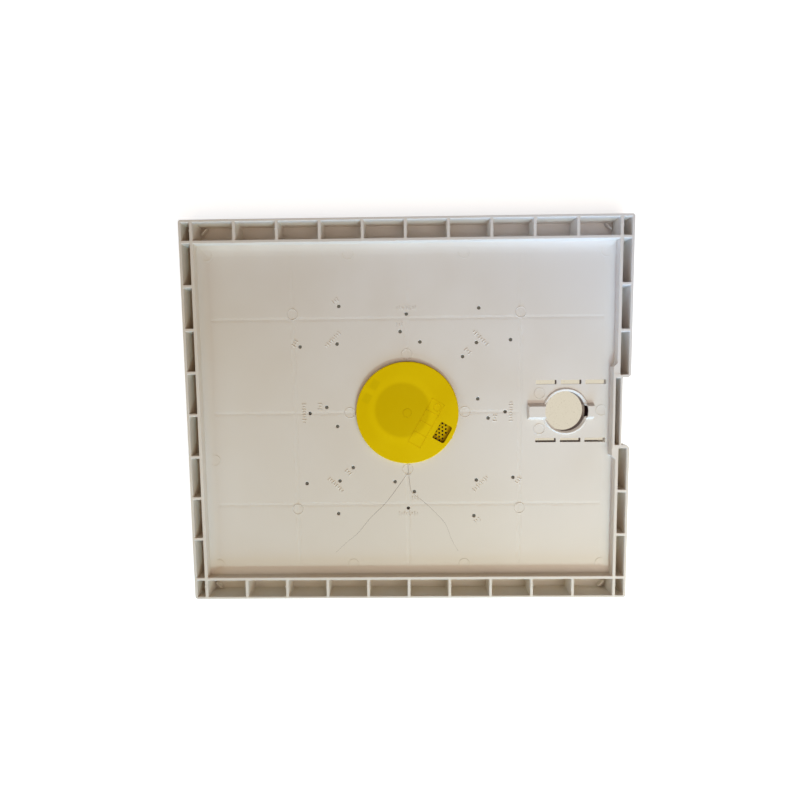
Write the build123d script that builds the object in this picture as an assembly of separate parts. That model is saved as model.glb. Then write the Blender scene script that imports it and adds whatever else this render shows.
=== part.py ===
from build123d import *
import os
from math import cos, hypot, radians, sin, sqrt, tan

# Inner cover for a ten-frame beehive, with a rotating disc that picks what the central opening is:
# a vent mesh, a queen excluder, an open passage or closed.
# Millimetres. Origin: centre of the board's bottom plane. +Z points to the open-cell side, +X to the notch.

# Board
BOARD_LENGTH = 500.0
BOARD_WIDTH = 432.0
BOARD_HEIGHT = 25.0
INNER_LENGTH = 468.6
INNER_WIDTH = 380.0
OUTER_WALL = 3.0
INNER_WALL = 3.6
RIM_RIB = 3.3
CELL_FLOOR = 2.5
DRAFT_DEG = 1.0
EDGE_BREAK = 0.5
CORNER_RADIUS = 2.5
POCKET_CORNER = 0.8
PLATE_DEPTH = 10.3
PLATE_THICKNESS = 3.0
MARGIN_WIDTH = 12.0
MARGIN_RISE = 1.5
MARGIN_STEPS = 3
CUT_MARGIN = 1.0

PLATE_TOP = BOARD_HEIGHT - PLATE_DEPTH
PLATE_BOTTOM = PLATE_TOP - PLATE_THICKNESS

# Rim cells
LONG_RIM_CELLS = 10
LEFT_RIM_CELLS = 8
RIGHT_RIM_CELLS_PER_SIDE = 3
GUSSET = (9.0, 1.2, 5.5)
GUSSET_INSET = 5.5

# Notch in the right rim
NOTCH_HALF = 38.0
NOTCH_FACE_X = 240.5
NOTCH_CHAMFER = 3.0
NOTCH_CELL_X = (233.1, 238.3)
NOTCH_CELL_HALF = 37.5
NOTCH_RAISE = 0.4
NOTCH_END_WALL = 4.0
PAD_FACE_X = 230.3
PAD_HALF = 50.0

# Ribs under the plate and the shallow sinks that they leave on its face
UNDER_RIB_THICKNESS = 2.5
UNDER_RIB_BOTTOM = 6.0
UNDER_RIB_X = (-128.7, 0.0, 129.0)
UNDER_RIB_Y = (107.0, -107.3)
MIDDLE_RIB_END_X = 128.0
SINK_WIDTH = 5.6
SINK_DEPTH = 0.2

# Small through holes, all in pairs that are opposite about the board's centre
PILOT_RADIUS = 2.0
PILOT_BREAK = 0.3
PILOT_RING_RADIUS = 112.0
PILOT_RING_COUNT = 8
PILOT_PAIRS = (
    (-7.2, 92.4),
    (-92.6, 7.0),
    (15.1, 80.6),
    (80.7, 15.2),
    (63.5, 63.5),
    (-76.4, 121.5),
    (-121.5, 76.4),
    (81.7, 118.0),
    (117.7, 82.0),
)

# Slots beside the round hole
SLOT_LENGTH = 23.6
SLOT_WIDTH = 4.9
SLOT_X = (158.5, 186.8, 214.8)
SLOT_Y = 33.3
SLOT_WALL = 2.6
SLOT_TUBE_BOTTOM = 8.0
RAIL_BOTTOM = 1.0

# Round hole, its collar and the raised channel that crosses it
HOLE_X = 180.7
HOLE_RADIUS = 23.0
TUBE_OUTER_RADIUS = 25.4
TUBE_BOTTOM = 4.0
COLLAR_TOP = PLATE_TOP + 1.6
COLLAR_CREST_INNER = 24.9
COLLAR_CREST_OUTER = 25.5
COLLAR_FOOT_RADIUS = 27.0
COLLAR_LIP = 1.4
BAR_TOP = PLATE_TOP + 6.0
BAR_HALF_TOP = 6.0
BAR_HALF_FOOT = 9.4
BAR_LEFT_FOOT = 137.5
BAR_LEFT_TOP = 138.2
BAR_RIGHT_TOP = 212.0
BAR_RIGHT_FOOT = 212.7
BAR_MOUTH_RADIUS = 24.4
BAR_SKIN = 1.7
CHANNEL_HALF = 6.8
CHANNEL_BOTTOM = 5.2
CHANNEL_END_WALL = 2.4

# Central opening and the grille in it
OPENING_RADIUS = 54.0
REBATE_RADIUS = 56.0
REBATE_DEPTH = 1.4
OPENING_RING_RADIUS = 59.0
OPENING_RING_BOTTOM = 8.7
GRILLE_GAP = 0.15
SECTOR_INNER = 37.0
SECTOR_OUTER = 52.0
SECTOR_HALF_WIDTH = 12.5
VENT_ANGLE = -30.0
EXCLUDER_ANGLE = 60.0
PASSAGE_ANGLE = 150.0
VENT_PITCH = 4.37
VENT_HOLE_RADIUS = 1.2
VENT_HOLE_MAX_RADIUS = 50.8
VENT_LATTICE_POINT = (40.25, -21.65)
EXCLUDER_SLOT = 4.2
EXCLUDER_BAR = 2.0
EXCLUDER_SLOTS = 4
PASSAGE_BAR = 5.3
PASSAGE_CORNER = 1.5
GRILLE_HUB_RADIUS = 9.0
GRILLE_HUB_BOTTOM = 8.0
GRILLE_RIB = 2.0
GRILLE_RIB_BOTTOM = 9.2
GRILLE_RING_RADIUS = 33.0

# Selector disc
DISC_RADIUS = 58.5
DISC_TOP = PLATE_TOP + 4.5
DISC_THICKNESS = 2.0
DISC_EDGE_ROUND = 1.1
DISC_SKIRT = 1.7
DISC_SKIRT_BOTTOM = PLATE_TOP + 0.3
DISC_RIB_BOTTOM = PLATE_TOP + 0.15
DISC_HUB_RADIUS = 8.0
WINDOW_ANGLE = VENT_ANGLE
WINDOW_RADIAL = (38.6, 53.5)
WINDOW_SIDE = (-10.7, 10.7)
WINDOW_OUTER_CORNER = 3.0
WINDOW_INNER_CORNER = 1.0
RING_OFFSET = -6.4
RING_INNER = 31.5
RING_OUTER = 38.0
SPOKE_WIDTH = 5.3
POINTER_RADIUS = 0.9

# Pivot pin and its clip
PIN_RADIUS = 3.45
PIN_BORE_RADIUS = 3.5
PIN_HEAD_RADIUS = 5.0
PIN_HEAD_BORE_RADIUS = 5.1
PIN_HEAD_THICKNESS = 1.0
PIN_HEAD_GAP = 0.06
PIN_BOTTOM = 4.2
PIN_GROOVE_RADIUS = 2.8
CLIP_THICKNESS = 0.9
CLIP_GAP = 0.1
CLIP_OUTER_RADIUS = 6.6
CLIP_INNER_RADIUS = 2.9
CLIP_MOUTH = 4.4


def block(x_range, y_range, z_range):
    """A plain box between two limits on each axis."""
    size = [high - low for low, high in (x_range, y_range, z_range)]
    centre = [(high + low) / 2 for low, high in (x_range, y_range, z_range)]
    return Pos(*centre) * Box(*size)


def prism(points, low, high):
    """A vertical prism on a plan outline."""
    outline = make_face(Polyline(*points, close=True))
    return Pos(0, 0, low) * extrude(outline, high - low)


def tube_of(inner, outer, low, high):
    """An upright ring about the Z axis."""
    ring = Circle(outer) - Circle(inner)
    return Pos(0, 0, low) * extrude(ring, high - low)


def drum(radius, low, high):
    """An upright solid cylinder about the Z axis."""
    return Pos(0, 0, low) * extrude(Circle(radius), high - low)


def drafted_pocket(length, width, depth):
    """A moulded pocket, open at z = 0, that narrows downwards and has a broken upper edge."""
    shrink = 2 * depth * tan(radians(DRAFT_DEG))
    floor = Pos(0, 0, -depth) * RectangleRounded(length - shrink, width - shrink, POCKET_CORNER)
    mouth = RectangleRounded(length, width, POCKET_CORNER)
    spread = EDGE_BREAK + CUT_MARGIN
    flare_top = Pos(0, 0, CUT_MARGIN) * RectangleRounded(
        length + 2 * spread, width + 2 * spread, POCKET_CORNER + spread
    )
    flare_foot = Pos(0, 0, -EDGE_BREAK) * RectangleRounded(length, width, POCKET_CORNER)
    return loft([floor, mouth], ruled=True) + loft([flare_foot, flare_top], ruled=True)


def evenly(low, high, count):
    """Middle points of equal divisions between two limits, and the pitch."""
    pitch = (high - low) / count
    return [low + pitch * (i + 0.5) for i in range(count)], pitch


def rim_cells():
    """The open cells all round the rim."""
    inner_x = INNER_LENGTH / 2 + INNER_WALL
    inner_y = INNER_WIDTH / 2 + INNER_WALL
    outer_x = BOARD_LENGTH / 2 - OUTER_WALL
    outer_y = BOARD_WIDTH / 2 - OUTER_WALL
    side_x = (inner_x + outer_x) / 2
    side_y = (inner_y + outer_y) / 2
    side_width = outer_x - inner_x
    side_depth = outer_y - inner_y
    depth = BOARD_HEIGHT - CELL_FLOOR
    line_x = inner_x - INNER_WALL / 2
    line_y = inner_y - INNER_WALL / 2

    middles, pitch = evenly(-line_x, line_x, LONG_RIM_CELLS)
    long_cell = drafted_pocket(pitch - RIM_RIB, side_depth, depth)
    places = [(long_cell, x, side * side_y) for x in middles for side in (-1, 1)]

    middles, pitch = evenly(-line_y, line_y, LEFT_RIM_CELLS)
    left_cell = drafted_pocket(side_width, pitch - RIM_RIB, depth)
    places += [(left_cell, -side_x, y) for y in middles]

    notch_line = NOTCH_HALF + NOTCH_END_WALL / 2
    middles, pitch = evenly(notch_line, line_y, RIGHT_RIM_CELLS_PER_SIDE)
    right_cell = drafted_pocket(side_width, pitch - RIM_RIB, depth)
    places += [(right_cell, side_x, side * y) for y in middles for side in (-1, 1)]

    corner_cell = drafted_pocket(side_width, side_depth, depth)
    places += [(corner_cell, sx * side_x, sy * side_y) for sx in (-1, 1) for sy in (-1, 1)]
    return [Pos(x, y, BOARD_HEIGHT) * cell for cell, x, y in places]


def corner_gussets():
    """Low diagonal gussets in the end cells of the long rims, across each cell's outer corner."""
    gussets = []
    height = GUSSET[2]
    for sx in (-1, 1):
        for sy in (-1, 1):
            x = sx * (INNER_LENGTH / 2 - GUSSET_INSET)
            y = sy * (BOARD_WIDTH / 2 - OUTER_WALL - GUSSET_INSET)
            place = Pos(x, y, CELL_FLOOR + height / 2) * Rot(0, 0, -45 * sx * sy)
            gussets.append(place * Box(*GUSSET))
    return gussets


def pad_outline():
    """Plan of the pad behind the notch, where the rim's inner face steps inwards."""
    x = INNER_LENGTH / 2
    wide = PAD_HALF + x - PAD_FACE_X
    back = x + CUT_MARGIN
    return [(PAD_FACE_X, -PAD_HALF), (x, -wide), (back, -wide), (back, wide), (x, wide), (PAD_FACE_X, PAD_HALF)]


def recess_plan(inset):
    """The rim's inner outline, shrunk by an inset on every side."""
    return Rectangle(INNER_LENGTH - 2 * inset, INNER_WIDTH - 2 * inset)


def upper_recess():
    """The space above the plate, whose edge curves gently up to the rim except in front of the pad."""
    sections = []
    for step in range(MARGIN_STEPS + 1):
        share = step / MARGIN_STEPS
        level = PLATE_TOP + MARGIN_RISE * share**2
        sections.append(Pos(0, 0, level) * recess_plan(MARGIN_WIDTH * (1 - share)))
    margin = loft(sections)
    above = PLATE_TOP + MARGIN_RISE
    shaft = Pos(0, 0, above) * extrude(recess_plan(0), BOARD_HEIGHT + CUT_MARGIN - above)
    pad = prism(pad_outline(), PLATE_BOTTOM, BOARD_HEIGHT + 2 * CUT_MARGIN)
    level_front = block(
        (INNER_LENGTH / 2 - MARGIN_WIDTH - CUT_MARGIN, PAD_FACE_X),
        (-PAD_HALF, PAD_HALF),
        (PLATE_TOP, above + CUT_MARGIN),
    )
    return margin + shaft - pad + level_front


def lower_recess():
    """The space under the plate."""
    shaft = Pos(0, 0, -CUT_MARGIN) * extrude(recess_plan(0), PLATE_BOTTOM + CUT_MARGIN)
    return shaft - prism(pad_outline(), -2 * CUT_MARGIN, PLATE_BOTTOM + CUT_MARGIN)


def recess_edge_break():
    """A small bevel round the top of the rim's inner face."""
    spread = EDGE_BREAK + CUT_MARGIN
    low = Pos(0, 0, BOARD_HEIGHT - EDGE_BREAK) * recess_plan(0)
    high = Pos(0, 0, BOARD_HEIGHT + CUT_MARGIN) * recess_plan(-spread)
    bevel = loft([low, high], ruled=True)
    pad = prism(pad_outline(), PLATE_BOTTOM, BOARD_HEIGHT + 2 * CUT_MARGIN)
    return bevel - pad


def notch_cut():
    """The gap in the outer side of the right rim, with bevelled shoulders."""
    edge = BOARD_LENGTH / 2
    outside = edge + CUT_MARGIN
    shoulder = edge - NOTCH_CHAMFER
    wide = NOTCH_HALF + NOTCH_CHAMFER
    outline = [
        (NOTCH_FACE_X, -NOTCH_HALF),
        (shoulder, -NOTCH_HALF),
        (edge, -wide),
        (outside, -wide),
        (outside, wide),
        (edge, wide),
        (shoulder, NOTCH_HALF),
        (NOTCH_FACE_X, NOTCH_HALF),
    ]
    return prism(outline, -CUT_MARGIN, BOARD_HEIGHT + NOTCH_RAISE + CUT_MARGIN)


def notch_land():
    """The slightly raised top of the thin walls along the notch."""
    half = NOTCH_HALF + NOTCH_END_WALL
    return block(
        (PAD_FACE_X + EDGE_BREAK, NOTCH_FACE_X),
        (-half, half),
        (BOARD_HEIGHT - EDGE_BREAK, BOARD_HEIGHT + NOTCH_RAISE),
    )


def notch_cell():
    """The one long cell along the notch."""
    low, high = NOTCH_CELL_X
    top = BOARD_HEIGHT + NOTCH_RAISE
    cell = drafted_pocket(high - low, 2 * NOTCH_CELL_HALF, top - CELL_FLOOR)
    return Pos((low + high) / 2, 0, top) * cell


def rim_and_plate():
    """The rim box with its recesses above and below the plate."""
    body = Pos(0, 0, BOARD_HEIGHT / 2) * Box(BOARD_LENGTH, BOARD_WIDTH, BOARD_HEIGHT)
    body = fillet(body.edges().filter_by(Axis.Z), CORNER_RADIUS)
    body = chamfer(body.edges().group_by(Axis.Z)[-1], EDGE_BREAK)
    body = body - [upper_recess(), lower_recess(), recess_edge_break()]
    body = body + notch_land()
    body = body - notch_cut()
    body = body - (rim_cells() + [notch_cell()])
    return body + corner_gussets()


def under_ribs():
    """Stiffening ribs on the plate's underside."""
    half = UNDER_RIB_THICKNESS / 2
    x_end = INNER_LENGTH / 2 + INNER_WALL / 2
    y_end = INNER_WIDTH / 2 + INNER_WALL / 2
    heights = (UNDER_RIB_BOTTOM, PLATE_BOTTOM + PLATE_THICKNESS / 2)
    ribs = [block((x - half, x + half), (-y_end, y_end), heights) for x in UNDER_RIB_X]
    ribs += [block((-x_end, x_end), (y - half, y + half), heights) for y in UNDER_RIB_Y]
    ribs.append(block((-x_end, MIDDLE_RIB_END_X), (-half, half), heights))
    return ribs


def sink_along(length):
    """A shallow V sink along X, cut into the plate's face at z = 0."""
    outline = Plane.YZ * make_face(
        Polyline(
            (-SINK_WIDTH / 2, 0),
            (0, -SINK_DEPTH),
            (SINK_WIDTH / 2, 0),
            (SINK_WIDTH / 2, SINK_DEPTH),
            (-SINK_WIDTH / 2, SINK_DEPTH),
            close=True,
        )
    )
    return Pos(-length / 2, 0, 0) * extrude(outline, length)


def plate_sinks():
    """The sinks over the under-ribs."""
    x_length = INNER_LENGTH - 2 * MARGIN_WIDTH
    y_length = INNER_WIDTH - 2 * MARGIN_WIDTH
    sinks = [Pos(x, 0, PLATE_TOP) * Rot(0, 0, 90) * sink_along(y_length) for x in UNDER_RIB_X]
    sinks += [Pos(0, y, PLATE_TOP) * sink_along(x_length) for y in UNDER_RIB_Y]
    middle_start = -x_length / 2
    middle = sink_along(MIDDLE_RIB_END_X - middle_start)
    sinks.append(Pos((MIDDLE_RIB_END_X + middle_start) / 2, 0, PLATE_TOP) * middle)
    return sinks


def pilot_places():
    """Plan positions of all the small through holes."""
    places = []
    for i in range(PILOT_RING_COUNT):
        angle = radians(360.0 / PILOT_RING_COUNT * i)
        places.append((PILOT_RING_RADIUS * cos(angle), PILOT_RING_RADIUS * sin(angle)))
    for x, y in PILOT_PAIRS:
        places += [(x, y), (-x, -y)]
    return places


def pilot_hole():
    """One small through hole with a broken upper edge, as a cutter with the plate's face at z = 0."""
    profile = Plane.XZ * make_face(
        Polyline(
            (0, -PLATE_THICKNESS - CUT_MARGIN),
            (PILOT_RADIUS, -PLATE_THICKNESS - CUT_MARGIN),
            (PILOT_RADIUS, -PILOT_BREAK),
            (PILOT_RADIUS + PILOT_BREAK + CUT_MARGIN, CUT_MARGIN),
            (0, CUT_MARGIN),
            close=True,
        )
    )
    return revolve(profile, Axis.Z)


def pilot_bosses():
    """Short bosses where a pilot hole meets an under-rib, so that the hole stays round."""
    bosses = []
    for x, y in pilot_places():
        on_rib = min(abs(x), abs(y)) < UNDER_RIB_THICKNESS
        if on_rib:
            bosses.append(Pos(x, y, 0) * drum(2 * PILOT_RADIUS, UNDER_RIB_BOTTOM, PLATE_BOTTOM + CUT_MARGIN))
    return bosses


def slot_surround(side):
    """Walls under the plate round one row of slots, with the deep rail on the outer side."""
    half = SLOT_WIDTH / 2
    x_range = (SLOT_X[0] - SLOT_LENGTH / 2 - SLOT_WALL, SLOT_X[-1] + SLOT_LENGTH / 2 + SLOT_WALL)
    top = PLATE_BOTTOM + PLATE_THICKNESS / 2
    outer = SLOT_Y + half + SLOT_WALL
    y_range = sorted((side * (SLOT_Y - half - SLOT_WALL), side * outer))
    rail = sorted((side * (SLOT_Y + half), side * outer))
    return block(x_range, y_range, (SLOT_TUBE_BOTTOM, top)) + block(x_range, rail, (RAIL_BOTTOM, top))


def slot_cutters():
    """The six through slots."""
    cutters = []
    for x in SLOT_X:
        for side in (-1, 1):
            outline = RectangleRounded(SLOT_LENGTH, SLOT_WIDTH, POCKET_CORNER)
            solid = extrude(outline, BOARD_HEIGHT)
            cutters.append(Pos(x, side * SLOT_Y, 0) * solid)
    return cutters


def collar():
    """Tube of the round hole and the low collar round its mouth, as a turned ring."""
    lip_foot = COLLAR_TOP - COLLAR_LIP
    profile = Plane.XZ * make_face(
        Polyline(
            (HOLE_RADIUS, TUBE_BOTTOM),
            (HOLE_RADIUS, lip_foot),
            (COLLAR_CREST_INNER, COLLAR_TOP),
            (COLLAR_CREST_OUTER, COLLAR_TOP),
            (COLLAR_FOOT_RADIUS, PLATE_TOP),
            (TUBE_OUTER_RADIUS, PLATE_TOP),
            (TUBE_OUTER_RADIUS, TUBE_BOTTOM),
            close=True,
        )
    )
    return Pos(HOLE_X, 0, 0) * revolve(profile, Axis.Z)


def raised_bar():
    """The bar over the channel: flat top, sloped sides and steep ends."""
    foot_length = BAR_RIGHT_FOOT - BAR_LEFT_FOOT
    top_length = BAR_RIGHT_TOP - BAR_LEFT_TOP
    foot = Pos((BAR_RIGHT_FOOT + BAR_LEFT_FOOT) / 2, 0, PLATE_TOP) * Rectangle(foot_length, 2 * BAR_HALF_FOOT)
    top = Pos((BAR_RIGHT_TOP + BAR_LEFT_TOP) / 2, 0, BAR_TOP) * Rectangle(top_length, 2 * BAR_HALF_TOP)
    above = loft([foot, top], ruled=True)
    below = block(
        (BAR_LEFT_TOP - CHANNEL_END_WALL, BAR_RIGHT_TOP + CHANNEL_END_WALL),
        (-CHANNEL_HALF - BAR_SKIN, CHANNEL_HALF + BAR_SKIN),
        (CHANNEL_BOTTOM, PLATE_TOP),
    )
    return above + below


def channel_cut():
    """The hollow under the bar, open to the round hole and to the underside."""
    x_range = (BAR_LEFT_TOP + BAR_SKIN / 2, BAR_RIGHT_TOP - BAR_SKIN)
    middle = (x_range[0] + x_range[1]) / 2
    length = x_range[1] - x_range[0]
    half_top = BAR_HALF_TOP - BAR_SKIN / 2
    low = Pos(middle, 0, PLATE_TOP) * Rectangle(length, 2 * CHANNEL_HALF)
    high = Pos(middle, 0, BAR_TOP - BAR_SKIN) * Rectangle(length - 2, 2 * half_top)
    below = block(x_range, (-CHANNEL_HALF, CHANNEL_HALF), (CHANNEL_BOTTOM, PLATE_TOP))
    return loft([low, high], ruled=True) + below


def tube_floor_ring():
    """The unbroken lower edge of the round hole's tube, below the channel."""
    return Pos(HOLE_X, 0, 0) * tube_of(HOLE_RADIUS, TUBE_OUTER_RADIUS, TUBE_BOTTOM, CHANNEL_BOTTOM)


def central_seat():
    """Stiffening ring under the plate, round the central opening."""
    return tube_of(OPENING_RADIUS, OPENING_RING_RADIUS, OPENING_RING_BOTTOM, PLATE_TOP)


def cover_board():
    board = rim_and_plate()
    board = board + (under_ribs() + pilot_bosses() + [central_seat(), slot_surround(1), slot_surround(-1)])
    board = board + [collar(), raised_bar()]
    bore = Pos(HOLE_X, 0, 0) * drum(HOLE_RADIUS, -CUT_MARGIN, BOARD_HEIGHT)
    mouth = Pos(HOLE_X, 0, 0) * drum(BAR_MOUTH_RADIUS, COLLAR_TOP, BOARD_HEIGHT)
    opening = drum(OPENING_RADIUS, -CUT_MARGIN, BOARD_HEIGHT)
    rebate = drum(REBATE_RADIUS, PLATE_TOP - REBATE_DEPTH, BOARD_HEIGHT)
    board = board - [bore, mouth, opening, rebate, channel_cut()]
    board = board + tube_floor_ring()
    pilot = pilot_hole()
    deep = drum(PILOT_RADIUS, -CUT_MARGIN, PLATE_TOP)
    pilots = [Pos(x, y, PLATE_TOP) * pilot for x, y in pilot_places()]
    pilots += [Pos(x, y, 0) * deep for x, y in pilot_places()]
    return board - (slot_cutters() + plate_sinks() + pilots)


def in_sector(angle, solid):
    """Turns a solid laid out along +X to a sector's own angle."""
    return Rot(0, 0, angle) * solid


def vent_holes():
    """Hexagonally packed vent holes, in lines along the board's Y axis."""
    holes = []
    hole = drum(VENT_HOLE_RADIUS, PLATE_BOTTOM - CUT_MARGIN, PLATE_TOP + CUT_MARGIN)
    along = radians(VENT_ANGLE)
    column_pitch = VENT_PITCH * sqrt(3) / 2
    for column in range(-5, 6):
        for row in range(-8, 9):
            x = VENT_LATTICE_POINT[0] + column * column_pitch
            y = VENT_LATTICE_POINT[1] + (row + (column % 2) / 2) * VENT_PITCH
            outwards = x * cos(along) + y * sin(along)
            sideways = -x * sin(along) + y * cos(along)
            inside = outwards > SECTOR_INNER and abs(sideways) < SECTOR_HALF_WIDTH
            if inside and hypot(x, y) < VENT_HOLE_MAX_RADIUS:
                holes.append(Pos(x, y, 0) * hole)
    return holes


def excluder_slots():
    """Parallel slots that let workers through and hold the queen back."""
    length = SECTOR_OUTER - SECTOR_INNER
    outline = SlotOverall(length, EXCLUDER_SLOT)
    slot = Pos(0, 0, PLATE_BOTTOM - CUT_MARGIN) * extrude(outline, PLATE_THICKNESS + 2 * CUT_MARGIN)
    pitch = EXCLUDER_SLOT + EXCLUDER_BAR
    start = -pitch * (EXCLUDER_SLOTS - 1) / 2
    middle = (SECTOR_INNER + SECTOR_OUTER) / 2 - 1.0
    return [in_sector(EXCLUDER_ANGLE, Pos(middle, start + pitch * i, 0) * slot) for i in range(EXCLUDER_SLOTS)]


def passage_openings():
    """The open passage: two openings with a bar between them."""
    length = SECTOR_OUTER - SECTOR_INNER - 2.0
    width = SECTOR_HALF_WIDTH - PASSAGE_BAR / 2
    outline = RectangleRounded(length, width, PASSAGE_CORNER)
    opening = Pos(0, 0, PLATE_BOTTOM - CUT_MARGIN) * extrude(outline, PLATE_THICKNESS + 2 * CUT_MARGIN)
    middle = SECTOR_INNER + length / 2
    side = PASSAGE_BAR / 2 + width / 2
    return [in_sector(PASSAGE_ANGLE, Pos(middle, s * side, 0) * opening) for s in (-1, 1)]


def grille_insert():
    """Fixed grille in the central opening: vent mesh, excluder slots, open passage and a blank quarter."""
    flange_bottom = PLATE_TOP - REBATE_DEPTH
    body = drum(REBATE_RADIUS - GRILLE_GAP, flange_bottom, PLATE_TOP)
    body = body + drum(OPENING_RADIUS - GRILLE_GAP, PLATE_BOTTOM, PLATE_TOP)
    rib_top = PLATE_BOTTOM + CUT_MARGIN
    half_rib = GRILLE_RIB / 2
    hub = drum(GRILLE_HUB_RADIUS, GRILLE_HUB_BOTTOM, rib_top)
    ring = tube_of(GRILLE_RING_RADIUS - half_rib, GRILLE_RING_RADIUS + half_rib, GRILLE_RIB_BOTTOM, rib_top)
    edge = tube_of(
        OPENING_RADIUS - GRILLE_GAP - GRILLE_RIB / 2, OPENING_RADIUS - GRILLE_GAP, GRILLE_RIB_BOTTOM, rib_top
    )
    spoke = block(
        (GRILLE_HUB_RADIUS - 1, OPENING_RADIUS - GRILLE_GAP - half_rib),
        (-half_rib, half_rib),
        (GRILLE_RIB_BOTTOM, rib_top),
    )
    spokes = [in_sector(VENT_ANGLE + 45 + 90 * i, spoke) for i in range(4)]
    body = body + ([hub, ring, edge] + spokes)
    bore = drum(PIN_BORE_RADIUS, 0, BOARD_HEIGHT)
    return body - ([bore] + vent_holes() + excluder_slots() + passage_openings())


def window_cut():
    """The disc's window: a rounded rectangle, rounder at its outer corners."""
    low, high = WINDOW_RADIAL
    left, right = WINDOW_SIDE
    outline = Pos((low + high) / 2, (left + right) / 2, 0) * Rectangle(high - low, right - left)
    corners = outline.vertices().group_by(Axis.X)
    outline = fillet(corners[-1], WINDOW_OUTER_CORNER)
    outline = fillet(outline.vertices().group_by(Axis.X)[0], WINDOW_INNER_CORNER)
    return in_sector(WINDOW_ANGLE, extrude(outline, BOARD_HEIGHT))


def selector_disc():
    """Shallow cap with one window, a pivot hub, and the pads under it that slide on the grille."""
    web_bottom = DISC_TOP - DISC_THICKNESS
    disc = drum(DISC_RADIUS, DISC_SKIRT_BOTTOM, DISC_TOP)
    disc = fillet(disc.edges().group_by(Axis.Z)[-1], DISC_EDGE_ROUND)
    disc = disc - drum(DISC_RADIUS - DISC_SKIRT, 0, web_bottom)
    hub = drum(DISC_HUB_RADIUS, DISC_RIB_BOTTOM, web_bottom)
    ring = Pos(RING_OFFSET, 0, 0) * tube_of(RING_INNER, RING_OUTER, DISC_RIB_BOTTOM, web_bottom)
    spoke = block(
        (-DISC_RADIUS + DISC_SKIRT / 2, RING_OFFSET - RING_OUTER + 1),
        (-SPOKE_WIDTH / 2, SPOKE_WIDTH / 2),
        (DISC_RIB_BOTTOM + 0.15, web_bottom),
    )
    pointer = Pos(DISC_RADIUS - 0.1, 0, 0) * drum(POINTER_RADIUS, DISC_SKIRT_BOTTOM, DISC_TOP - DISC_EDGE_ROUND)
    disc = disc + [hub, in_sector(WINDOW_ANGLE, ring + spoke), in_sector(WINDOW_ANGLE, pointer)]
    bore = drum(PIN_BORE_RADIUS, 0, BOARD_HEIGHT)
    head_bore = drum(PIN_HEAD_BORE_RADIUS, DISC_TOP - PIN_HEAD_THICKNESS - PIN_HEAD_GAP, BOARD_HEIGHT)
    return disc - [bore, head_bore, window_cut()]


def pivot_pin():
    """Headed pin, flush with the disc's top, grooved near its lower end for the clip."""
    head_bottom = DISC_TOP - PIN_HEAD_THICKNESS
    groove_top = GRILLE_HUB_BOTTOM
    groove_bottom = groove_top - CLIP_THICKNESS - CLIP_GAP
    profile = Plane.XZ * make_face(
        Polyline(
            (0, PIN_BOTTOM),
            (PIN_RADIUS - 0.9, PIN_BOTTOM),
            (PIN_RADIUS, PIN_BOTTOM + 0.9),
            (PIN_RADIUS, groove_bottom),
            (PIN_GROOVE_RADIUS, groove_bottom),
            (PIN_GROOVE_RADIUS, groove_top),
            (PIN_RADIUS, groove_top),
            (PIN_RADIUS, head_bottom),
            (PIN_HEAD_RADIUS, head_bottom),
            (PIN_HEAD_RADIUS, DISC_TOP - 0.2),
            (PIN_HEAD_RADIUS - 0.2, DISC_TOP),
            (0, DISC_TOP),
            close=True,
        )
    )
    return revolve(profile, Axis.Z)


def retaining_clip():
    """Open ring that snaps into the pin's groove under the grille's hub."""
    low = GRILLE_HUB_BOTTOM - CLIP_THICKNESS - CLIP_GAP / 2
    ring = tube_of(CLIP_INNER_RADIUS, CLIP_OUTER_RADIUS, low, low + CLIP_THICKNESS)
    mouth = block((0, 2 * CLIP_OUTER_RADIUS), (-CLIP_MOUTH / 2, CLIP_MOUTH / 2), (0, BOARD_HEIGHT))
    return ring - mouth


NODES = {
    "cover_board": (cover_board, Color(0.90, 0.89, 0.86)),
    "grille_insert": (grille_insert, Color(0.80, 0.66, 0.02)),
    "selector_disc": (selector_disc, Color(0.86, 0.72, 0.02)),
    "pivot_pin": (pivot_pin, Color(0.84, 0.70, 0.02)),
    "retaining_clip": (retaining_clip, Color(0.62, 0.63, 0.65)),
}

os.makedirs("parts", exist_ok=True)
for name, (make, colour) in NODES.items():
    shape = make()
    shape.label = name
    shape.color = colour
    export_step(shape, f"parts/{name}.step")
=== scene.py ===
import math
import bmesh
import bpy
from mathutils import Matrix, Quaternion, Vector


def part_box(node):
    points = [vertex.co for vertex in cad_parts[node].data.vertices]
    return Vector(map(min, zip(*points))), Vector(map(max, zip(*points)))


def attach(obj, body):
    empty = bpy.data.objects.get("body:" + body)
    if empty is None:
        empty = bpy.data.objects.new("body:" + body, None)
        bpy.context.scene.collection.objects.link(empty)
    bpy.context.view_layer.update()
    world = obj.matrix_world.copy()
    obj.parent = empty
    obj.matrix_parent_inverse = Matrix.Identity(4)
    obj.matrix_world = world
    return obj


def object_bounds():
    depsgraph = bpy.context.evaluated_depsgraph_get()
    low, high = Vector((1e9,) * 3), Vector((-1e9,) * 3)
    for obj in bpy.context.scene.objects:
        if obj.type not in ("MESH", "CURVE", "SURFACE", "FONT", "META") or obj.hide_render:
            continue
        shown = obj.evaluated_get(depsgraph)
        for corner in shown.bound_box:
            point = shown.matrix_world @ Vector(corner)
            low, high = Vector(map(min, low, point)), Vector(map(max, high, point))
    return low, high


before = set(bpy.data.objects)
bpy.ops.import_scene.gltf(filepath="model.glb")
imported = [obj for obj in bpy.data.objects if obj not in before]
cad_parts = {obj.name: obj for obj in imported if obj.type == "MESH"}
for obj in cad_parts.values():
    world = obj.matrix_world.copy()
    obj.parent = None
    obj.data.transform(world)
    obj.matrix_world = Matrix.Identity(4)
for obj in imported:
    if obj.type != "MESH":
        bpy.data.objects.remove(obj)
cad_low, cad_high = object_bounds()

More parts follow.
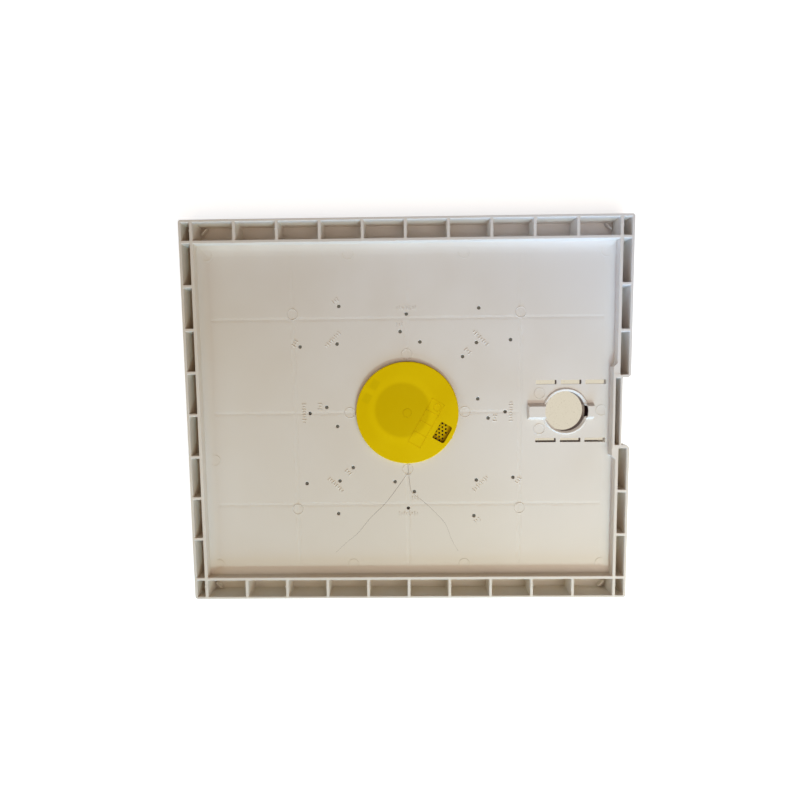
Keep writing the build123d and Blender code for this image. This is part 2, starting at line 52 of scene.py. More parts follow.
# Lengths are in metres, in the board's own frame: +X towards the port, +Y away from the viewer, +Z up.
# Tables of places are in millimetres and are scaled where they're used.
MM = 0.001
PLATE_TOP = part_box("grille_insert")[1].z
DISC_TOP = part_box("selector_disc")[1].z
NOTCH_RAISE = 0.4 * MM
RIM_TOP = cad_high.z - NOTCH_RAISE

# How far every raised mark reaches into the surface that it stands on
RELIEF_SINK = 0.06 * MM

# Witness rings of the ejector pins on the plate
EJECTOR_RADIUS = 6.0 * MM
EJECTOR_LINE = 0.85 * MM
EJECTOR_HEIGHT = 0.37 * MM
EJECTOR_PLACES = (
    (-224, 179), (224, 179), (-224, -179), (224, -179),
    (-65, 179), (65, 179), (-65, -179), (65, -179),
    (-129, 112.6), (129, 112.6), (-129, -112.6), (129, -112.6),
    (-224, -54), (0, -66.5), (0, 66.5), (66, 0), (-66, 0), (151, 20.5), (151, -20.5), (221.5, 0.5),
)

# Small rings on the ribs of the long rims
RIB_MARK_RADIUS = 1.9 * MM
RIB_MARK_LINE = 0.5 * MM
RIB_MARK_HEIGHT = 0.18 * MM
RIB_MARK_SEGMENTS = 28
RIB_MARK_X = (-236, -141.6, -47.2, 47.2, 141.6, 236)
RIB_MARK_Y = (204, -201)

# Rows of ticks beside the small holes: long ones evenly round the disc, short ones by radius and degrees
TICK_STEP = 3.0 * MM
TICK_WIDTH = 1.1 * MM
TICK_HEIGHT = 0.6 * MM
TALL_TICK = 5.0 * MM
SHORT_TICK = 0.6 * TALL_TICK
LONG_ROWS = 8
LONG_ROW = 24.0 * MM
LONG_ROW_RADIUS = 118.7 * MM
SHORT_ROW = 11.0 * MM
SHORT_ROWS = (
    (100.5, 94.5), (100.5, 274.5), (100.5, 175.7), (100.5, 355.7),
    (98.0, 45.0), (98.0, 225.0),
    (150.5, 122.2), (150.5, 302.2), (150.5, 147.8), (150.5, 327.8),
)

# Hairline cracks that run from the disc towards the near rim
CRACK_HALF_WIDTH = 0.22 * MM
CRACK_TAPER = 0.14 * MM
CRACK_RISE = 0.02 * MM
CRACK_DEPTH = 0.06 * MM
CRACKS = (
    ((0, -58), (0.7, -70), (3, -90), (7, -96), (15, -102), (29, -115), (43, -131), (50, -149), (58, -164)),
    ((0, -70), (-24, -103), (-44, -123), (-59, -141), (-72, -152), (-86, -165)),
)

# Thin-line panel on the disc, along and across the window's direction
WINDOW_ANGLE = math.radians(-30)
PANEL_ALONG = (17.0 * MM, 32.6 * MM)
PANEL_HALF = 28.2 * MM
PANEL_DIVIDERS = (-1.0, -0.5, 0.0, 0.5, 1.0)
PANEL_LINE = 0.65 * MM
PANEL_HEIGHT = 0.26 * MM
PANEL_RING_PLACE = (27.0 * MM, 22.0 * MM)
PANEL_RING_RADIUS = 4.2 * MM
PANEL_RING_SEGMENTS = 40

# Painted light and shade on the disc from the pads and gaps under it, in the same directions: a dark middle,
# a light ring and bar round it, two dark gaps
TONE_MIDDLE = -6.4 * MM
TONE_INNER = 31.5 * MM
TONE_OUTER = 38.0 * MM
TONE_FADE = 2.8 * MM
TONE_BAR_ACROSS = (2.0 * MM, 3.6 * MM)
TONE_BAR_ALONG = (-44 * MM, -40 * MM)
GAP_PLACE_ALONG = -48 * MM
GAP_PLACES_ACROSS = (-8.0 * MM, 10.0 * MM)
GAP_FADE_ALONG = (3 * MM, 5.5 * MM)
GAP_FADE_ACROSS = (4 * MM, 7 * MM)

# The board's painted light tints change along +Y and this share of +X, over these spans: a cool tint towards
# the far right corner, a warm tint towards the near left one
CORNER_SLANT = 0.8
COOL_LIGHT_SPAN = (0.12, 0.40)
WARM_LIGHT_SPAN = (0.20, -0.10)

# Reach of the plate's through holes from the middle, and the heights between which the painted shade on
# their walls fades out
HOLES_REACH = Vector((222 * MM, 180 * MM))
HOLE_SHADE_SPAN = (PLATE_TOP - 2.5 * MM, PLATE_TOP + 0.2 * MM)

# How far a cavity's walls shade it: the rim's cells and the grille's holes
CELL_SHADE = 22 * MM
GRILLE_SHADE = 6 * MM

# Faces whose normal rises less than this count as upright
UPRIGHT_RISE = 0.4

# The floor, and the parts of it that the camera sees through the port and slots, disc and channel
FLOOR_HALF = 12.0
FLOOR_DROP = 0.4 * MM
PORT_X = 184 * MM
PORT_HALF = Vector((46 * MM, 40 * MM))
MIDDLE_RADIUS = 62 * MM
CHANNEL_FROM = 206 * MM
CHANNEL_HALF = 14 * MM

# Floor glow for the camera, as linear values: an even glow beside the board, a dim glow under it that is
# painted light seen through its holes, and near-black painted shade under the disc and channel
GLOW_BESIDE = (0.60, 0.64, 0.66, 1.0)
GLOW_UNDER = (0.13, 0.12, 0.095, 1.0)
GLOW_PAINTED_SHADE = (0.009, 0.004, 0.004, 1.0)

# Lamps: name, angle round from +X and angle up in degrees, distance, size, watts, tint
LAMPS = (
    ("lamp", -40, 52, 0.75, 0.6, 2.25, (1.0, 0.95, 0.87)),
    ("low_window", -88, 16, 1.5, 0.6, 12.0, (0.18, 0.54, 1.0)),
    ("window_gap", -71, 40, 1.6, 0.1, 8.2, (0.60, 0.90, 0.96)),
    ("warm_lamp", -160, 44, 0.6, 0.25, 0.22, (1.0, 0.86, 0.50)),
    ("side_window", 176, 26, 1.5, 0.5, 3.4, (0.66, 0.88, 1.0)),
    ("under_lamp", 0, -90, 1.2, 0.9, 6.0, (1.0, 0.97, 0.93)),
)

# The room's light from the near and the far side, and the backdrop that the camera sees instead
ROOM_NEAR = (0.58, 0.43, 0.37, 1.0)
ROOM_FAR = (0.085, 0.045, 0.032, 1.0)
BACKDROP = (0.86, 0.86, 0.85, 1.0)

# Camera, as fitted to the photograph, with sensor and lens in millimetres. Its turn is an axis whose length
# is the angle in radians.
CAMERA_PLACE = Vector((6.9 * MM, 54.0 * MM, RIM_TOP + 516.4 * MM))
CAMERA_TURN = Vector((-0.076, 0.012, -0.010))
CAMERA_SENSOR = 36.0
CAMERA_LENS = 20.74
CAMERA_SHIFT = (-0.0094, 0.0006)


# ---------------------------------------------------------------- node helpers

class Graph:
    """A node tree, with short calls for the nodes that the materials and the room share."""

    def __init__(self, owner, output, coordinates):
        owner.use_nodes = True
        self.tree = owner.node_tree
        self.tree.nodes.clear()
        self.surface = self.add(output).inputs["Surface"]
        self.where = self.add("ShaderNodeTexCoord").outputs[coordinates]

    def add(self, kind, **settings):
        """A new node of a kind, with its own settings."""
        made = self.tree.nodes.new(kind)
        for key, value in settings.items():
            setattr(made, key, value)
        return made

    def link(self, source, target):
        """Joins an output to an input."""
        self.tree.links.new(source, target)

    def feed(self, target, value):
        """Links a socket or sets a plain value."""
        if isinstance(value, bpy.types.NodeSocket):
            self.link(value, target)
        else:
            target.default_value = value

    def math(self, operation, *values):
        """One sum on sockets or plain numbers."""
        made = self.add("ShaderNodeMath", operation=operation)
        for target, value in zip(made.inputs, values):
            self.feed(target, value)
        return made.outputs[0]

    def product(self, first, *others):
        """The values multiplied together."""
        total = first
        for other in others:
            total = self.math("MULTIPLY", total, other)
        return total

    def length(self, x, y):
        """How far the point x, y is from 0, 0."""
        return self.math("SQRT", self.math("ADD", self.product(x, x), self.product(y, y)))

    def away(self, value, middle):
        """How far a value is from a middle."""
        return self.math("ABSOLUTE", self.math("SUBTRACT", value, middle))

    def within(self, value, middle, half):
        """1 where a value is closer than half to a middle, else 0."""
        return self.math("LESS_THAN", self.away(value, middle), half)

    def ramp(self, value, low, high, to_low=0.0, to_high=1.0, smooth=True):
        """Runs from to_low to to_high, and no further, as a value goes from low to high."""
        made = self.add("ShaderNodeMapRange")
        if smooth:
            made.interpolation_type = "SMOOTHSTEP"
        for target, number in zip(made.inputs, (value, low, high, to_low, to_high)):
            self.feed(target, number)
        return made.outputs[0]

    def fade(self, value, near, far):
        """1 where a value is below near, falling to 0 at far."""
        return self.ramp(value, near, far, 1.0, 0.0)

    def noise(self, scale, detail=2.0, stretch=None):
        """Random clouds between 0 and 1, with about as many lumps to the metre as the scale says."""
        made = self.add("ShaderNodeTexNoise")
        made.inputs["Scale"].default_value = scale
        made.inputs["Detail"].default_value = detail
        source = self.where
        if stretch:
            mapping = self.add("ShaderNodeMapping")
            mapping.inputs["Scale"].default_value = stretch
            self.link(source, mapping.inputs["Vector"])
            source = mapping.outputs[0]
        self.link(source, made.inputs["Vector"])
        return made.outputs["Fac"]

    def blend(self, factor, first, second):
        """A mix of two colours."""
        made = self.add("ShaderNodeMix", data_type="RGBA")
        self.feed(made.inputs["Factor"], factor)
        for socket, value in zip((made.inputs[6], made.inputs[7]), (first, second)):
            self.feed(socket, value)
        return made.outputs[2]

    def choose(self, factor, first, second):
        """A mix of two shaders."""
        made = self.add("ShaderNodeMixShader")
        for target, source in zip(made.inputs, (factor, first, second)):
            self.link(source, target)
        return made.outputs[0]

    def glow(self, tone):
        """A shader that shines with a tone whatever the light."""
        made = self.add("ShaderNodeEmission")
        self.feed(made.inputs["Color"], tone)
        return made.outputs[0]

    def occlusion(self, distance):
        """1 in the open, less where walls closer than a distance shut the sky out."""
        made = self.add("ShaderNodeAmbientOcclusion", samples=8)
        made.inputs["Distance"].default_value = distance
        return made.outputs["AO"]

    def upright(self):
        """1 on faces that stand nearly upright, else 0."""
        axes = self.split(self.add("ShaderNodeNewGeometry").outputs["True Normal"])
        return self.math("LESS_THAN", self.math("ABSOLUTE", axes[2]), UPRIGHT_RISE)

    def split(self, vector=None):
        """The X, Y and Z of a vector, or of the shaded point."""
        made = self.add("ShaderNodeSeparateXYZ")
        self.link(vector or self.where, made.inputs[0])
        return made.outputs


class Material(Graph):
    """A material's node tree, with one principled shader in it."""

    def __init__(self, name):
        self.material = bpy.data.materials.new(name)
        super().__init__(self.material, "ShaderNodeOutputMaterial", "Object")
        self.bsdf = self.add("ShaderNodeBsdfPrincipled")
        self.link(self.bsdf.outputs[0], self.surface)

    def set(self, name, value):
        """Links or sets an input of the principled shader."""
        self.feed(self.bsdf.inputs[name], value)

    def bump(self, height, strength, distance, normal=None):
        """The normal of a surface with fine relief as deep as a distance, on top of another normal."""
        made = self.add("ShaderNodeBump")
        made.inputs["Strength"].default_value = strength
        made.inputs["Distance"].default_value = distance
        self.link(height, made.inputs["Height"])
        if normal:
            self.link(normal, made.inputs["Normal"])
        return made.outputs[0]


def colour(red, green, blue):
    """A colour given as 0 to 255 screen values, as the linear values that nodes take."""
    def linear(value):
        value /= 255
        return value / 12.92 if value <= 0.04045 else ((value + 0.055) / 1.055) ** 2.4
    return (linear(red), linear(green), linear(blue), 1.0)


# ------------------------------------------------------------------- materials

# Spans of noise values: most of them, and nearly all
MOST = (0.3, 0.7)
NEARLY_ALL = (0.2, 0.8)

# The board's tones, and how much of each is laid over the ivory: the cool and warm tints are painted light,
# and the cell and hole browns are painted shade
IVORY = (colour(221, 214, 204), colour(227, 222, 215))
IVORY_ROUGHNESS = (0.42, 0.56)
COOL_LIT_IVORY = colour(232, 234, 238)
AGED_AND_WARM_LIT_IVORY = colour(214, 202, 182)
WARM_LIGHT_SHARE = 0.56
AGED_PATCH_SHARE = 0.25
CELL_SHADE_BROWN = colour(192, 176, 146)
CELL_SHADE_BROWN_SHARE = 0.2
HOLE_SHADE_BROWN = colour(80, 44, 30)
HOLE_SHADE_SHARES = (0.75, 0.92)
SPECK = colour(120, 105, 85)
SPECK_SHARE = 0.35

# The yellow parts' tones, and how much of each is laid over the yellow: the disc's deep middle, light ring
# and gap tones are painted light and shade, and the grille's browns are painted shade
YELLOW = (colour(219, 184, 1), colour(224, 191, 2))
YELLOW_ROUGHNESS = (0.34, 0.5)
YELLOW_SPECULAR = 0.3
YELLOW_SHEEN = (1.0, 0.86, 0.10, 1.0)
DEEP_YELLOW = colour(203, 170, 0)
MIDDLE_SHADE_SHARE = 0.7
LIT_THROUGH_YELLOW = colour(229, 196, 4)
LIT_THROUGH_SHARE = 0.45
GAP_SHADE_YELLOW = colour(206, 174, 2)
GAP_SHADE_SHARE = 0.5
PIN_DEEP_SHARE = 0.75
RUBBED_YELLOW = colour(196, 163, 4)
RUBBED_SHARE = 0.2
GRILLE_SHADE_BROWN = colour(150, 112, 10)
GRILLE_SHADE_SHARES = (0.9, 0.2)
GRILLE_SPECULAR = 0.12
GRILLE_HOLE_SHADE = colour(36, 14, 12)
GRILLE_HOLE_SHADE_SHARE = 0.95

STEEL = (colour(168, 169, 172), colour(198, 198, 200))
STEEL_ROUGHNESS = (0.22, 0.38)
CRACK_DIRT = (colour(150, 132, 112), colour(110, 92, 76))
FLOOR_WHITE = (colour(246, 245, 243), colour(250, 249, 247))
FLOOR_CREAM = (colour(200, 190, 168), colour(220, 211, 191))


def board_tones(g, x, y):
    """The board's ivory with flow clouds and patches of ageing, with painted light: a cool tint at the far
    right corner, a warm tint at the near left one.
    """
    base = g.blend(g.ramp(g.noise(9.0, 3.0), *MOST), *IVORY)
    towards_corner = g.math("ADD", g.product(x, CORNER_SLANT), y)
    # Painted light: a cool tint towards the far right corner and a warm tint towards the near left one
    base = g.blend(g.ramp(towards_corner, *COOL_LIGHT_SPAN), base, COOL_LIT_IVORY)
    warm_light = g.ramp(towards_corner, *WARM_LIGHT_SPAN, 0.0, WARM_LIGHT_SHARE)
    patches = g.ramp(g.noise(3.5, 1.0), 0.35, 0.75, 0.0, AGED_PATCH_SHARE)
    return g.blend(g.math("ADD", warm_light, patches), base, AGED_AND_WARM_LIT_IVORY)


def board_plastic():
    """Ivory plastic with fine grain and a few specks, with painted shade in the deep cells and on the walls
    of its holes.
    """
    g = Material("board_plastic")
    x, y, z = g.split()
    base = board_tones(g, x, y)
    # Painted shade: browner and patchy where the cells' walls close in
    shut_in = g.fade(g.occlusion(CELL_SHADE), 0.15, 0.75)
    painted_cell_shade = g.product(shut_in, g.ramp(g.noise(60.0, 4.0), *NEARLY_ALL, 0.55, 1.0), CELL_SHADE_BROWN_SHARE)
    base = g.blend(painted_cell_shade, base, CELL_SHADE_BROWN)
    # Painted shade: dark brown on the upright walls of the plate's holes
    in_plate = g.product(g.within(x, 0.0, HOLES_REACH.x), g.within(y, 0.0, HOLES_REACH.y))
    on_hole_wall = g.product(in_plate, g.upright(), g.fade(z, *HOLE_SHADE_SPAN))
    painted_hole_shade = g.product(on_hole_wall, g.ramp(g.noise(90.0, 3.0), *NEARLY_ALL, *HOLE_SHADE_SHARES))
    base = g.blend(painted_hole_shade, base, HOLE_SHADE_BROWN)
    specks = g.ramp(g.noise(420.0), 0.80, 0.83)
    g.set("Base Color", g.blend(g.product(specks, SPECK_SHARE), base, SPECK))
    g.set("Roughness", g.ramp(g.noise(35.0, 4.0), *MOST, *IVORY_ROUGHNESS))
    grain = g.bump(g.noise(1400.0), 0.25, 0.06 * MM)
    g.set("Normal", g.bump(g.noise(22.0, 1.0), 0.12, 0.6 * MM, grain))
    g.set("Specular IOR Level", 0.4)
    return g.material


def yellow_plastic(name, rub_scale, specular=YELLOW_SPECULAR):
    """A graph with the roughness and fine surface of the yellow plastic parts, and their plain colour."""
    g = Material(name)
    clouds = g.ramp(g.noise(16.0, 3.0), *MOST)
    g.set("Roughness", g.ramp(g.noise(rub_scale, 4.0), *MOST, *YELLOW_ROUGHNESS))
    grain = g.bump(g.noise(1600.0), 0.2, 0.05 * MM)
    g.set("Normal", g.bump(g.noise(30.0, 1.0), 0.1, 0.5 * MM, grain))
    g.set("Specular IOR Level", specular)
    g.set("Specular Tint", YELLOW_SHEEN)
    return g, g.blend(clouds, *YELLOW)


def disc_plastic():
    """Thin yellow plastic with painted light and shade where the pads and gaps under the disc would show
    through it.
    """
    g, base = yellow_plastic("disc_plastic", 26.0)
    x, y, _ = g.split()
    ca, sa = math.cos(WINDOW_ANGLE), math.sin(WINDOW_ANGLE)
    along = g.math("ADD", g.product(x, ca), g.product(y, sa))
    across = g.math("SUBTRACT", g.product(y, ca), g.product(x, sa))
    reach = g.length(g.math("SUBTRACT", along, TONE_MIDDLE), across)
    inner_edge = (TONE_INNER - TONE_FADE, TONE_INNER + TONE_FADE)
    # Painted shade in the middle, painted light in the ring and bar, and painted shade at the two gaps
    base = g.blend(g.product(g.fade(reach, *inner_edge), MIDDLE_SHADE_SHARE), base, DEEP_YELLOW)
    outer_edge = (TONE_OUTER - TONE_FADE, TONE_OUTER + 2 * TONE_FADE)
    ring = g.product(g.ramp(reach, *inner_edge), g.fade(reach, *outer_edge))
    bar = g.product(g.fade(g.away(across, 0.0), *TONE_BAR_ACROSS), g.fade(along, *TONE_BAR_ALONG))
    base = g.blend(g.product(g.math("MAXIMUM", ring, bar), LIT_THROUGH_SHARE), base, LIT_THROUGH_YELLOW)
    for place in GAP_PLACES_ACROSS:
        beside = g.fade(g.away(along, GAP_PLACE_ALONG), *GAP_FADE_ALONG)
        gap = g.product(beside, g.fade(g.away(across, place), *GAP_FADE_ACROSS), GAP_SHADE_SHARE)
        base = g.blend(gap, base, GAP_SHADE_YELLOW)
    g.set("Base Color", base)
    return g.material


def grille_plastic():
    """The same yellow plastic, with painted shade where its walls close in and on the walls of its holes."""
    g, base = yellow_plastic("grille_plastic", 60.0, GRILLE_SPECULAR)
    # Painted shade: browner where the grille's walls close in
    painted_shade = g.ramp(g.occlusion(GRILLE_SHADE), 0.2, 1.0, *GRILLE_SHADE_SHARES)
    base = g.blend(painted_shade, base, GRILLE_SHADE_BROWN)
    # Painted shade: near-black on the upright walls of its holes
    g.set("Base Color", g.blend(g.product(g.upright(), GRILLE_HOLE_SHADE_SHARE), base, GRILLE_HOLE_SHADE))
    return g.material


def pin_plastic():
    """Yellow plastic of the pin, as deep in tone as the middle of the disc, with fine turning rubs."""
    g, base = yellow_plastic("pin_plastic", 90.0)
    base = g.blend(PIN_DEEP_SHARE, base, DEEP_YELLOW)
    rubs = g.ramp(g.noise(260.0, 3.0, stretch=(1.0, 6.0, 1.0)), 0.45, 0.7, 0.0, RUBBED_SHARE)
    g.set("Base Color", g.blend(rubs, base, RUBBED_YELLOW))
    return g.material


def clip_steel():
    """Bright spring steel with fine rolling marks."""
    g = Material("clip_steel")
    marks = g.noise(900.0, 3.0, stretch=(1.0, 14.0, 1.0))
    g.set("Base Color", g.blend(marks, *STEEL))
    g.set("Roughness", g.ramp(marks, *NEARLY_ALL, *STEEL_ROUGHNESS))
    g.set("Normal", g.bump(marks, 0.15, 0.03 * MM))
    g.set("Metallic", 1.0)
    return g.material


def crack_grime():
    """Dirt held in a hairline crack, uneven along its length."""
    g = Material("crack_grime")
    g.set("Base Color", g.blend(g.ramp(g.noise(240.0, 3.0), 0.35, 0.65), *CRACK_DIRT))
    g.set("Roughness", 0.8)
    return g.material


def floor_for_camera(g, x, y):
    """The floor that the camera sees under the board: painted light in cream at the port and slots, a dim
    painted glow elsewhere, and painted shade under the disc and channel.
    """
    at_port = g.product(g.within(x, PORT_X, PORT_HALF.x), g.within(y, 0.0, PORT_HALF.y))
    grit = g.ramp(g.noise(900.0, 3.0), 0.28, 0.42)
    # Painted light: the floor glows cream at the port and dim elsewhere under the board
    tone = g.blend(at_port, GLOW_UNDER, g.blend(grit, *FLOOR_CREAM))
    below_disc = g.math("LESS_THAN", g.length(x, y), MIDDLE_RADIUS)
    in_channel = g.product(g.math("GREATER_THAN", x, CHANNEL_FROM), g.within(y, 0.0, CHANNEL_HALF))
    # Painted shade: near-black under the disc and the channel
    return g.glow(g.blend(g.math("MAXIMUM", below_disc, in_channel), tone, GLOW_PAINTED_SHADE))


def pale_floor():
    """Plain white floor that glows a little for the camera beside the board, and only glows under it.

    It's clear from below and lets the lamp under it through, so that the underside can be looked at.
    """
    g = Material("pale_floor")
    g.set("Base Color", g.blend(g.ramp(g.noise(1.2, 1.0), *MOST), *FLOOR_WHITE))
    g.set("Roughness", 0.9)
    g.set("Specular IOR Level", 0.1)
    plain = g.bsdf.outputs[0]
    x, y, _ = g.split()
    beside_board = g.add("ShaderNodeAddShader")
    g.link(plain, beside_board.inputs[0])
    g.link(g.glow(GLOW_BESIDE), beside_board.inputs[1])
    under = g.product(g.within(x, 0.0, cad_high.x), g.within(y, 0.0, cad_high.y))
    to_camera = g.choose(under, beside_board.outputs[0], floor_for_camera(g, x, y))
    path = g.add("ShaderNodeLightPath")
    from_above = g.choose(path.outputs["Is Camera Ray"], plain, to_camera)
    from_below = g.add("ShaderNodeNewGeometry").outputs["Backfacing"]
    let_through = g.math("MAXIMUM", from_below, path.outputs["Is Shadow Ray"])
    clear = g.add("ShaderNodeBsdfTransparent").outputs[0]
    g.link(g.choose(let_through, from_above, clear), g.surface)
    return g.material


# --------------------------------------------------------------- relief meshes

def finish_piece(bm, name, body, material):
    """Turns a bmesh into a named piece that rides on a CAD body."""
    bmesh.ops.recalc_face_normals(bm, faces=bm.faces)
    mesh = bpy.data.meshes.new(name)
    bm.to_mesh(mesh)
    bm.free()
    mesh.materials.append(material)
    piece = bpy.data.objects.new(name, mesh)
    bpy.context.scene.collection.objects.link(piece)
    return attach(piece, body)


def turned(u, v, angle):
    """The place u along and v across a direction, as x and y."""
    ca, sa = math.cos(angle), math.sin(angle)
    return u * ca - v * sa, u * sa + v * ca


def add_ring(bm, x, y, z, radius, width, height, segments=56):
    """A low closed ring that stands on a surface at height z."""
    section = (
        (-width / 2, -RELIEF_SINK), (-width / 5, height), (width / 5, height), (width / 2, -RELIEF_SINK)
    )
    rows = []
    for i in range(segments):
        angle = 2 * math.pi * i / segments
        row = []
        for outwards, rise in section:
            reach = radius + outwards
            row.append(bm.verts.new((x + reach * math.cos(angle), y + reach * math.sin(angle), z + rise)))
        rows.append(row)
    for i, row in enumerate(rows):
        following = rows[(i + 1) % segments]
        for j in range(len(section)):
            k = (j + 1) % len(section)
            bm.faces.new((row[j], following[j], following[k], row[k]))


def add_bar(bm, x, y, z, angle, length, width, height):
    """A low closed bar with sloped sides that stands on a surface at height z."""
    corners = ((-1, -1), (1, -1), (1, 1), (-1, 1))
    rings = []
    for grow, rise in ((0.0, -RELIEF_SINK), (-height / 2, height)):
        ring = []
        for end, side in corners:
            u, v = turned(end * (length / 2 + grow), side * (width / 2 + grow), angle)
            ring.append(bm.verts.new((x + u, y + v, z + rise)))
        rings.append(ring)
    low, high = rings
    bm.faces.new(reversed(low))
    bm.faces.new(high)
    for i in range(len(corners)):
        k = (i + 1) % len(corners)
        bm.faces.new((low[i], low[k], high[k], high[i]))


def ejector_marks(material):
    """Thin witness rings of the mould's ejector pins on the plate."""
    bm = bmesh.new()
    for x, y in EJECTOR_PLACES:
        add_ring(bm, x * MM, y * MM, PLATE_TOP, EJECTOR_RADIUS, EJECTOR_LINE, EJECTOR_HEIGHT)
    return finish_piece(bm, "ejector_marks", "board", material)


def rib_marks(material):
    """Small ejector rings on the tops of some ribs of the long rims."""
    bm = bmesh.new()
    for x in RIB_MARK_X:
        for y in RIB_MARK_Y:
            place = (x * MM, y * MM, RIM_TOP)
            add_ring(bm, *place, RIB_MARK_RADIUS, RIB_MARK_LINE, RIB_MARK_HEIGHT, RIB_MARK_SEGMENTS)
    return finish_piece(bm, "rib_marks", "board", material)


def add_tick_row(bm, radius, angle, length):
    """A row of plain raised ticks of alternating height, centred at a radius and angle and square to it."""
    count = int(length / TICK_STEP)
    for i in range(count):
        x, y = turned(radius, (i - (count - 1) / 2) * TICK_STEP, angle)
        tall = TALL_TICK if i % 2 == 0 else SHORT_TICK
        add_bar(bm, x, y, PLATE_TOP, angle, tall, TICK_WIDTH, TICK_HEIGHT)


def hole_ticks(material):
    """Tick rows beside the small holes, in place of the lettering."""
    bm = bmesh.new()
    for i in range(LONG_ROWS):
        add_tick_row(bm, LONG_ROW_RADIUS, 2 * math.pi * i / LONG_ROWS, LONG_ROW)
    for radius, degrees in SHORT_ROWS:
        add_tick_row(bm, radius * MM, math.radians(degrees), SHORT_ROW)
    return finish_piece(bm, "hole_ticks", "board", material)


def disc_relief(material):
    """The plain thin-line panel on the disc, with its dividing lines and small ring."""
    bm = bmesh.new()
    inner, outer = PANEL_ALONG

    def panel_line(u, v, turn, length):
        x, y = turned(u, v, WINDOW_ANGLE)
        add_bar(bm, x, y, DISC_TOP, WINDOW_ANGLE + turn, length + PANEL_LINE, PANEL_LINE, PANEL_HEIGHT)

    for share in PANEL_DIVIDERS:
        panel_line((inner + outer) / 2, share * PANEL_HALF, 0.0, outer - inner)
    for u in PANEL_ALONG:
        panel_line(u, 0.0, math.pi / 2, 2 * PANEL_HALF)
    place = (*turned(*PANEL_RING_PLACE, WINDOW_ANGLE), DISC_TOP)
    add_ring(bm, *place, PANEL_RING_RADIUS, PANEL_LINE, PANEL_HEIGHT, PANEL_RING_SEGMENTS)
    return finish_piece(bm, "disc_panel_lines", "disc", material)


def curve_through(points, steps=6):
    """Points on a smooth curve through the given points."""
    path = []
    last = len(points) - 1
    for i in range(last):
        p0, p1, p2, p3 = (points[max(0, min(last, k))] for k in (i - 1, i, i + 1, i + 2))
        for s in range(steps):
            t = s / steps
            path.append(0.5 * (2 * p1 + (p2 - p0) * t + (2 * p0 - 5 * p1 + 4 * p2 - p3) * t ** 2
                               + (3 * p1 - p0 - 3 * p2 + p3) * t ** 3))
    path.append(points[-1])
    return path


def hairline_cracks(material):
    """Dirt lines of the two cracks in the plate, tapering away from the disc."""
    bm = bmesh.new()
    up = Vector((0, 0, 1))
    for crack in CRACKS:
        path = curve_through([Vector((x * MM, y * MM, PLATE_TOP)) for x, y in crack])
        rows = []
        for i, point in enumerate(path):
            ahead = path[min(i + 1, len(path) - 1)] - path[max(i - 1, 0)]
            side = Vector((-ahead.y, ahead.x, 0)).normalized()
            side *= CRACK_HALF_WIDTH - CRACK_TAPER * i / len(path)
            section = (side, up * CRACK_RISE, -side, -up * CRACK_DEPTH)
            rows.append([bm.verts.new(point + offset) for offset in section])
        for first, second in zip(rows, rows[1:]):
            for j in range(len(first)):
                k = (j + 1) % len(first)
                bm.faces.new((first[j], first[k], second[k], second[j]))
        bm.faces.new(reversed(rows[0]))
        bm.faces.new(rows[-1])
    return finish_piece(bm, "hairline_cracks", "board", material)


# ----------------------------------------------------------------------- stage

def floor(material):
    """A wide square floor just under the board."""
    mesh = bpy.data.meshes.new("floor")
    level = cad_low.z - FLOOR_DROP
    corners = [(x * FLOOR_HALF, y * FLOOR_HALF, level) for x, y in ((-1, -1), (1, -1), (1, 1), (-1, 1))]
    mesh.from_pydata(corners, [], [(0, 1, 2, 3)])
    mesh.materials.append(material)
    plane = bpy.data.objects.new("floor", mesh)
    bpy.context.scene.collection.objects.link(plane)


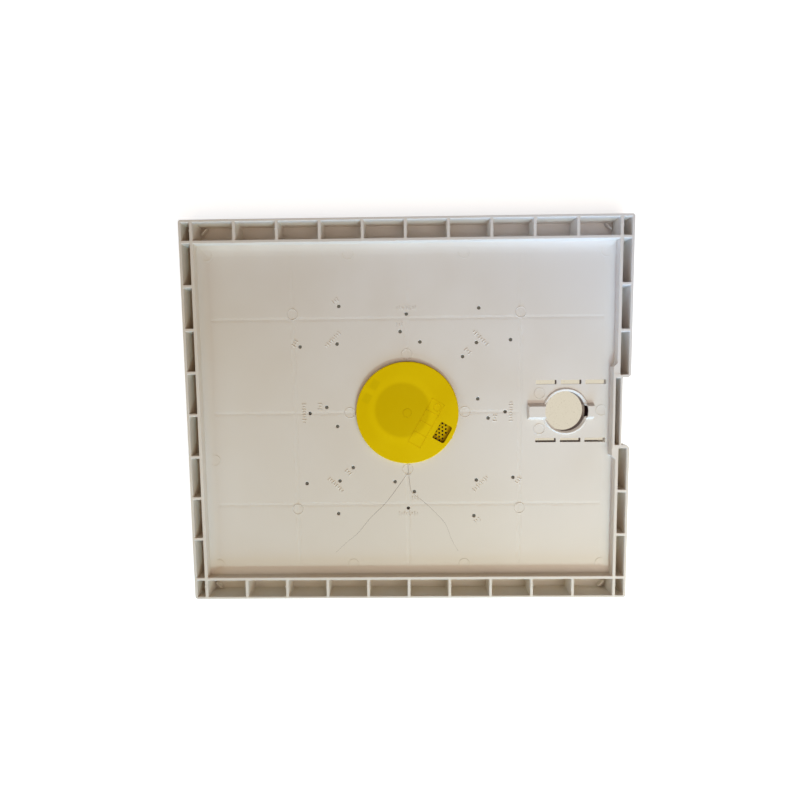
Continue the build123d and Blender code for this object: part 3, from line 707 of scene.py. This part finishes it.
def area_light(name, azimuth, elevation, distance, size, watts, tint):
    """A square soft light that looks at the board and that the camera doesn't see."""
    light = bpy.data.lights.new(name, "AREA")
    light.energy = watts
    light.size = size
    light.color = tint
    lamp = bpy.data.objects.new(name, light)
    turn, rise = math.radians(azimuth), math.radians(elevation)
    towards = Vector((math.cos(rise) * math.cos(turn), math.cos(rise) * math.sin(turn), math.sin(rise)))
    lamp.location = towards * distance
    lamp.rotation_mode = "QUATERNION"
    lamp.rotation_quaternion = towards.to_track_quat("Z", "Y")
    lamp.visible_camera = False
    bpy.context.scene.collection.objects.link(lamp)


def room():
    """Warm light from above the horizon, stronger from the near side.

    The camera sees a plain pale backdrop in its place.
    """
    world = bpy.data.worlds.new("studio")
    g = Graph(world, "ShaderNodeOutputWorld", "Generated")
    axes = g.split()
    towards_far = g.ramp(axes[1], -1.0, 1.0, smooth=False)
    light = g.add("ShaderNodeBackground")
    g.link(g.blend(towards_far, ROOM_NEAR, ROOM_FAR), light.inputs["Color"])
    g.link(g.math("GREATER_THAN", axes[2], 0.0), light.inputs["Strength"])
    backdrop = g.add("ShaderNodeBackground")
    backdrop.inputs["Color"].default_value = BACKDROP
    seen = g.add("ShaderNodeLightPath").outputs["Is Camera Ray"]
    g.link(g.choose(seen, light.outputs[0], backdrop.outputs[0]), g.surface)
    bpy.context.scene.world = world


def camera():
    """Nearly straight down on the plate, from a little beyond its middle and tilted back to it."""
    data = bpy.data.cameras.new("camera")
    data.sensor_width = CAMERA_SENSOR
    data.lens = CAMERA_LENS
    data.shift_x, data.shift_y = CAMERA_SHIFT
    cam = bpy.data.objects.new("camera", data)
    cam.location = CAMERA_PLACE
    cam.rotation_mode = "QUATERNION"
    cam.rotation_quaternion = Quaternion(CAMERA_TURN.normalized(), CAMERA_TURN.length)
    bpy.context.scene.collection.objects.link(cam)
    bpy.context.scene.camera = cam
    bpy.context.scene.view_settings.view_transform = "Standard"


def dress(node, material):
    """Gives a CAD node its procedural material."""
    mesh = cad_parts[node].data
    mesh.materials.clear()
    mesh.materials.append(material)


board = board_plastic()
disc = disc_plastic()
dress("cover_board", board)
dress("selector_disc", disc)
dress("grille_insert", grille_plastic())
dress("pivot_pin", pin_plastic())
dress("retaining_clip", clip_steel())
ejector_marks(board)
rib_marks(board)
hole_ticks(board)
disc_relief(disc)
hairline_cracks(crack_grime())
floor(pale_floor())
for settings in LAMPS:
    area_light(*settings)
room()
camera()
